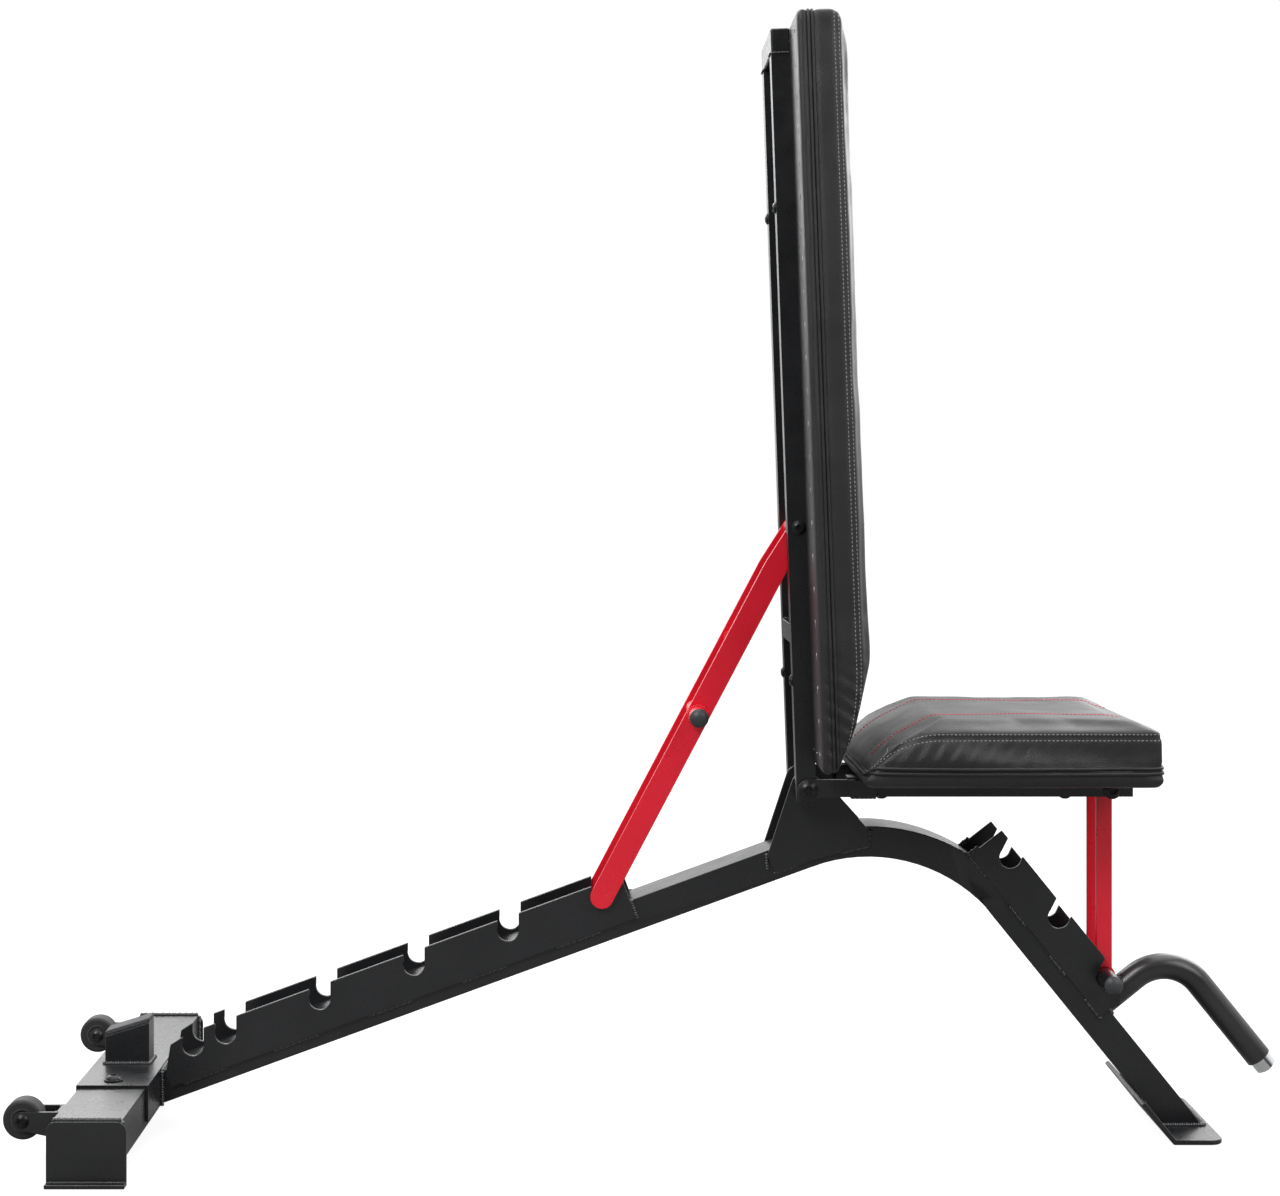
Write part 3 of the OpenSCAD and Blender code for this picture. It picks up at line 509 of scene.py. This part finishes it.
# ---------- cushions ----------
class Pad:
    """A foam pad in its own frame.

    x runs along its length from the hinge end, y across it, and z out of its board.
    """

    swell = 7 * MM                                  # how far the cover may bulge
    sink = 2.0 * MM                                 # how far it may draw in at its edges
    underside = -1 * MM                             # the cover's lowest level, under the board
    slack = 3 * MM                                  # room left in the CAD solid for the swelling

    def __init__(self, name, body, node, board, place, nose, wrinkles):
        self.name, self.body, self.node, self.board, self.place = name, body, node, board, place
        back = place.inverted()
        spots = [back @ v.co for v in NODES[node].data.vertices]
        self.low = Vector([min(p[k] for p in spots) for k in range(3)])
        self.high = Vector([max(p[k] for p in spots) for k in range(3)])
        self.long = self.high.x - self.low.x
        self.half = (self.high.y - self.low.y) / 2
        self.thick = self.high.z - self.low.z
        self.nose, self.wrinkles = nose, wrinkles

    def top_at(self, x):
        """Height of the pad's top over its board at x: a soft nose that rises to the full thickness."""
        long, low = self.nose
        if x >= long:
            return self.thick
        return self.thick - (self.thick - low) * (1 - max(x, 0) / long) ** 2

    def seam_at(self, x, share):
        """Height of a seam: the low seams stay level, the high ones follow the top."""
        if share < 0.5:
            return min(share * self.thick, 0.62 * self.top_at(x))
        return share * self.top_at(x)

    def start_mesh(self):
        inset = self.slack
        top = self.thick - self.slack
        end = self.long - inset
        outline = [(inset, self.underside), (end, self.underside), (end, top - 6 * MM),
                   (end - 5 * MM, top - 1 * MM), (self.long - 16 * MM, top)]
        steps = 12
        for i in range(steps, -1, -1):
            x = self.nose[0] * i / steps
            outline.append((inset + x, self.top_at(x) - self.slack))
        work = bmesh.new()
        half = self.half - inset
        near = [work.verts.new((x, -half, z)) for x, z in outline]
        far = [work.verts.new((x, half, z)) for x, z in outline]
        work.faces.new(near)
        work.faces.new(list(reversed(far)))
        for i in range(len(outline)):
            j = (i + 1) % len(outline)
            work.faces.new((near[j], near[i], far[i], far[j]))
        bmesh.ops.recalc_face_normals(work, faces=work.faces)
        mesh = bpy.data.meshes.new(self.name)
        work.to_mesh(mesh)
        work.free()
        return mesh

    def simulate(self):
        """Remeshes the plain block and lets air pressure swell its cover."""
        obj = scratch_object(self.name + "_start", self.start_mesh())
        bevel = obj.modifiers.new("round", "BEVEL")
        bevel.width = 6 * MM
        bevel.segments = 3
        bevel.limit_method = "ANGLE"
        bevel.angle_limit = math.radians(50)
        remesh = obj.modifiers.new("remesh", "REMESH")
        remesh.mode = "VOXEL"
        remesh.voxel_size = 5 * MM
        mesh = evaluated_mesh(obj)
        drop(obj)
        obj = scratch_object(self.name + "_cloth", mesh)
        rest = [(v.co.copy(), v.normal.copy()) for v in mesh.vertices]
        pins = obj.vertex_groups.new(name="pins")
        pins.add([v.index for v in mesh.vertices if v.co.z < 6 * MM], 1.0, "REPLACE")
        cloth = obj.modifiers.new("cloth", "CLOTH")
        settings = cloth.settings
        settings.quality = 5
        settings.use_pressure = True
        settings.uniform_pressure_force = 4
        settings.effector_weights.gravity = 0
        settings.vertex_group_mass = "pins"
        settings.tension_stiffness = 18
        settings.compression_stiffness = 18
        settings.bending_stiffness = 0.8
        cloth.point_cache.frame_start = 1
        cloth.point_cache.frame_end = 20
        scene = bpy.context.scene
        for number in range(1, 21):
            scene.frame_set(number)
        final = evaluated_mesh(obj)
        drop(obj)
        for vertex, (start, out) in zip(final.vertices, rest):
            move = vertex.co - start
            most = self.swell if move.dot(out) > 0 else self.sink
            if move.length > most:
                move *= most / move.length
            vertex.co = start + move
        scene.frame_set(1)
        return final

    def shape(self):
        """Smooths, subdivides, then presses in the seams and adds the wrinkles."""
        obj = scratch_object(self.name + "_raw", self.simulate())
        smooth = obj.modifiers.new("smooth", "SMOOTH")
        smooth.factor = 0.5
        smooth.iterations = 3
        fine = obj.modifiers.new("fine", "SUBSURF")
        fine.levels = 1
        fine.render_levels = 1
        mesh = evaluated_mesh(obj)
        drop(obj)
        seams = ((0.19, 1.2 * MM), (0.27, 1.2 * MM), (0.35, 1.0 * MM), (0.8, 1.1 * MM))
        reach = 2.6 * MM
        normals = [v.normal.copy() for v in mesh.vertices]
        for vertex, normal in zip(mesh.vertices, normals):
            at = vertex.co
            side = math.hypot(normal.x, normal.y)
            top = self.top_at(at.x)
            press = 0.0
            if side > 0.35:
                for share, depth in seams:
                    away = (at.z - self.seam_at(at.x, share)) / reach
                    press += depth * side * math.exp(-away * away)
            press += self.wrinkles(at, normal, top)
            soft = noise.noise(at * 14) * 1.1 * MM + noise.noise(at * 34) * 0.45 * MM
            if at.z > 4 * MM:
                vertex.co = at - normal * press + normal * soft
            vertex.co.z = max(vertex.co.z, self.underside)
        return mesh

    def perimeter(self, share, steps):
        """Points and normals round the pad's sides, at a share of its local height."""
        hits = []
        corner = 30 * MM
        margin = 40 * MM
        hx, hy = self.long / 2, self.half
        straight_x, straight_y = 2 * (hx - corner), 2 * (hy - corner)
        arc = math.pi / 2 * corner
        loop = 2 * (straight_x + straight_y) + 4 * arc
        for i in range(steps):
            s = loop * i / steps
            legs = ((straight_x, Vector((1, 0, 0)), Vector((-hx + corner, -hy, 0)), Vector((0, -1, 0))),
                    (straight_y, Vector((0, 1, 0)), Vector((hx, -hy + corner, 0)), Vector((1, 0, 0))),
                    (straight_x, Vector((-1, 0, 0)), Vector((hx - corner, hy, 0)), Vector((0, 1, 0))),
                    (straight_y, Vector((0, -1, 0)), Vector((-hx, hy - corner, 0)), Vector((-1, 0, 0))))
            for length, along, start, out in legs:
                if s <= length:
                    spot = start + along * s
                    direction = out
                    break
                s -= length
                if s <= arc:
                    angle = s / corner
                    direction = out * math.cos(angle) + along * math.sin(angle)
                    spot = start + along * length - out * corner + direction * corner
                    break
                s -= arc
            spot = spot + Vector((hx, 0, 0))
            height = self.seam_at(min(max(spot.x, 0), self.long), share)
            origin = Vector((spot.x, spot.y, height)) + direction * margin
            hit, normal, _, _ = self.tree.ray_cast(origin, -direction, 2 * margin)
            if hit:
                hits.append((hit, normal))
        return hits

    def lengthwise(self, y, start, end, steps):
        hits = []
        for i in range(steps + 1):
            x = start + (end - start) * i / steps
            above = Vector((x, y, self.thick + 60 * MM))
            hit, normal, _, _ = self.tree.ray_cast(above, Vector((0, 0, -1)), 0.2)
            if hit:
                hits.append((hit, normal))
        return hits

    def place_mesh(self, mesh):
        mesh.transform(self.place @ Matrix.Translation(self.shift))
        return mesh

    def trim(self, part, mesh, material):
        mesh_object(self.name + part, self.place_mesh(mesh), MATERIALS[material], self.body)

    def build(self):
        self.shift = Vector((self.low.x, (self.low.y + self.high.y) / 2, self.low.z))
        mesh = self.shape()
        mesh.calc_loop_triangles()
        self.tree = BVHTree.FromPolygons([v.co for v in mesh.vertices],
                                         [p.vertices[:] for p in mesh.polygons])
        steps = int(2 * (self.long + 2 * self.half) / (3 * MM))
        seam_rows = [self.perimeter(share, steps) for share in (0.23, 0.31, 0.755, 0.85)]
        cover = mesh_object(self.name + "_cover", self.place_mesh(mesh), MATERIALS["cushion_cover"],
                            self.body)
        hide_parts(self.node, self.board)
        for number, row in enumerate(seam_rows[:2], 1):
            part = "_welt_%d" % number
            welt = tube_along(self.name + part, [p + n * 0.4 * MM for p, n in row], 1.7 * MM, True)
            self.trim(part, welt, "cushion_cover")
        rows = [row + row[:1] for row in seam_rows[2:]]
        self.trim("_stitching", stitches_along(self.name + "_stitching", rows), "thread_grey")
        lines = [self.lengthwise(side * self.half * 0.5, 20 * MM, self.long - 14 * MM, 200)
                 for side in (-1, 1)]
        red = stitches_along(self.name + "_red_stitching", lines, long=3.6 * MM, thick=1.3 * MM)
        self.trim("_red_stitching", red, "thread_red")
        self.staples()

    def staples(self):
        """A row of staples round the underside, where the cover is folded over the board."""
        work = bmesh.new()
        inset = 22 * MM
        pitch = 32 * MM
        spots = []
        count = int((self.long - 2 * inset) / pitch)
        for i in range(count + 1):
            x = inset + (self.long - 2 * inset) * i / count
            spots += [(x, -self.half + inset, 0), (x, self.half - inset, 0)]
        count = int((2 * self.half - 2 * inset) / pitch)
        for i in range(1, count):
            y = -self.half + inset + (2 * self.half - 2 * inset) * i / count
            spots += [(inset, y, 1), (self.long - inset, y, 1)]
        for x, y, across in spots:
            size = (1.0 * MM, 9 * MM, 0.9 * MM, 1) if across else (9 * MM, 1.0 * MM, 0.9 * MM, 1)
            form = Matrix.Translation((x, y, -1.1 * MM)) @ Matrix.Diagonal(size)
            made = bmesh.ops.create_cube(work, size=1, matrix=form)
            edges = list({e for v in made["verts"] for e in v.link_edges})
            bmesh.ops.bevel(work, geom=edges, offset=0.25 * MM, segments=2, affect="EDGES")
        mesh = bpy.data.meshes.new(self.name + "_staples")
        work.to_mesh(mesh)
        work.free()
        self.trim("_staples", mesh, "staple")


def seat_wrinkles(at, normal, top):
    """Slanting pulls in the seat's side panels, strongest behind the middle."""
    if abs(normal.y) < 0.5 or not 0.36 < at.z / top < 0.8:
        return 0.0
    middle = (at.z / top - 0.36) / 0.44
    rows = math.sin(math.pi * middle)
    envelope = math.exp(-((at.x - 0.105) / 0.075) ** 2) + 0.35 * math.exp(-((at.x - 0.24) / 0.05) ** 2)
    phase = (at.x - at.z * 0.55) * 2 * math.pi / 0.017 + 1.6 * noise.noise(at * 22)
    return rows * envelope * 0.9 * MM * math.sin(phase)


def back_wrinkles(at, normal, top):
    """Short gathers where the back's cover is drawn in at its lower end."""
    if at.x > 0.16 or abs(normal.y) < 0.4:
        return 0.0
    envelope = math.exp(-((at.x - 0.055) / 0.05) ** 2)
    phase = (at.x + at.z * 0.6) * 2 * math.pi / 0.016 + 1.4 * noise.noise(at * 25)
    return envelope * 0.7 * MM * math.sin(phase)


def back_place():
    """From the back pad's own axes (length up, width across, thickness forward) to the bench's."""
    up = Vector((-math.sin(LEAN), 0, math.cos(LEAN)))
    out = Vector((math.cos(LEAN), 0, math.sin(LEAN)))
    across = out.cross(up)
    return Matrix.Translation(HINGE) @ Matrix((up, across, out)).transposed().to_4x4()


def cushions():
    seat_nose = (80 * MM, 16 * MM)
    back_nose = (110 * MM, 18 * MM)
    Pad("back_pad", "back", "back_cushion", "back_board", back_place(), back_nose,
        back_wrinkles).build()
    Pad("seat_pad", "seat", "seat_cushion", "seat_board", Matrix.Identity(4), seat_nose,
        seat_wrinkles).build()


# ---------- rounded metalwork ----------
def metalwork():
    rounds = {
        4.0: ("main_tube", "rear_cross_tube"),
        2.4: ("back_rail_near", "back_rail_far", "back_top_cross_tube", "back_lower_cross_tube",
              "seat_rail_near", "seat_rail_far", "seat_cross_tubes", "rest_post"),
        1.2: ("rear_saddle", "front_foot_plate", "rest_post_pad"),
        0.8: ("ladder_plate_near", "ladder_plate_far", "tower_plate_near", "tower_plate_far",
              "rack_plate_near", "rack_plate_far", "rear_foot_plate_near", "rear_foot_plate_far",
              "seat_hinge_ear_near", "seat_hinge_ear_far", "wheel_bracket_near", "wheel_bracket_far",
              "strut_bar_near", "strut_bar_far", "seat_strut_bar_near", "seat_strut_bar_far"),
        0.35: ("main_hinge_bolt", "strut_pivot_bolt", "seat_pivot_bolt", "saddle_bolts",
               "back_pad_bolts", "seat_pad_bolts", "wheel_axle_bolts"),
    }
    for width, names in rounds.items():
        for name in names:
            soften(name, width * MM)
    for name, obj in NODES.items():
        material = MATERIALS[SLOT_OF[name]]
        for holder in obj.material_slots:
            holder.material = material


MATERIALS = make_materials()
camera_and_stage()
metalwork()
frame_welds()
back_welds()
seat_welds()
strut_welds()
cushions()
